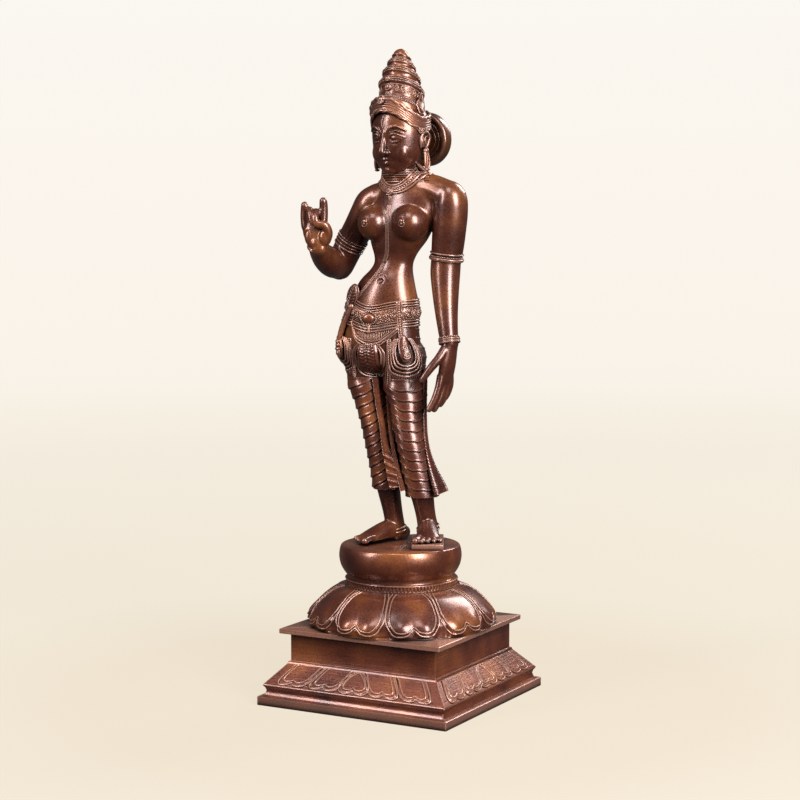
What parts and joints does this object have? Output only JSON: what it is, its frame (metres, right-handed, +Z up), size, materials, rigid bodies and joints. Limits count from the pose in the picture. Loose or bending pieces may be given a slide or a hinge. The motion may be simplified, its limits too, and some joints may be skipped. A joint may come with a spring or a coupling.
{
  "type": "standing goddess figure on lotus pedestal",
  "caption": "Standing goddess in cast bronze with a tall stepped crown, halo disc, jewellery and wound skirt, on a round lotus pedestal and a square plinth.",
  "frame": {"origin": "centre of the underside of the square plinth", "axes": "+Z up along the figure, the figure faces -Y, its left hand is at +X"},
  "size_m": [0.2, 0.2, 0.613],
  "materials": {
    "figure": "bronze with a warm brown patina, polished on the high places",
    "lotus_pedestal": "bronze with a warm brown patina, rubbed bright on petal edges",
    "square_plinth": "bronze with a brown patina and fine file marks"
  },
  "bodies": {
    "root": {"figure": "figure", "lotus_pedestal": "lotus_pedestal", "square_plinth": "square_plinth"}
  },
  "joints": []
}
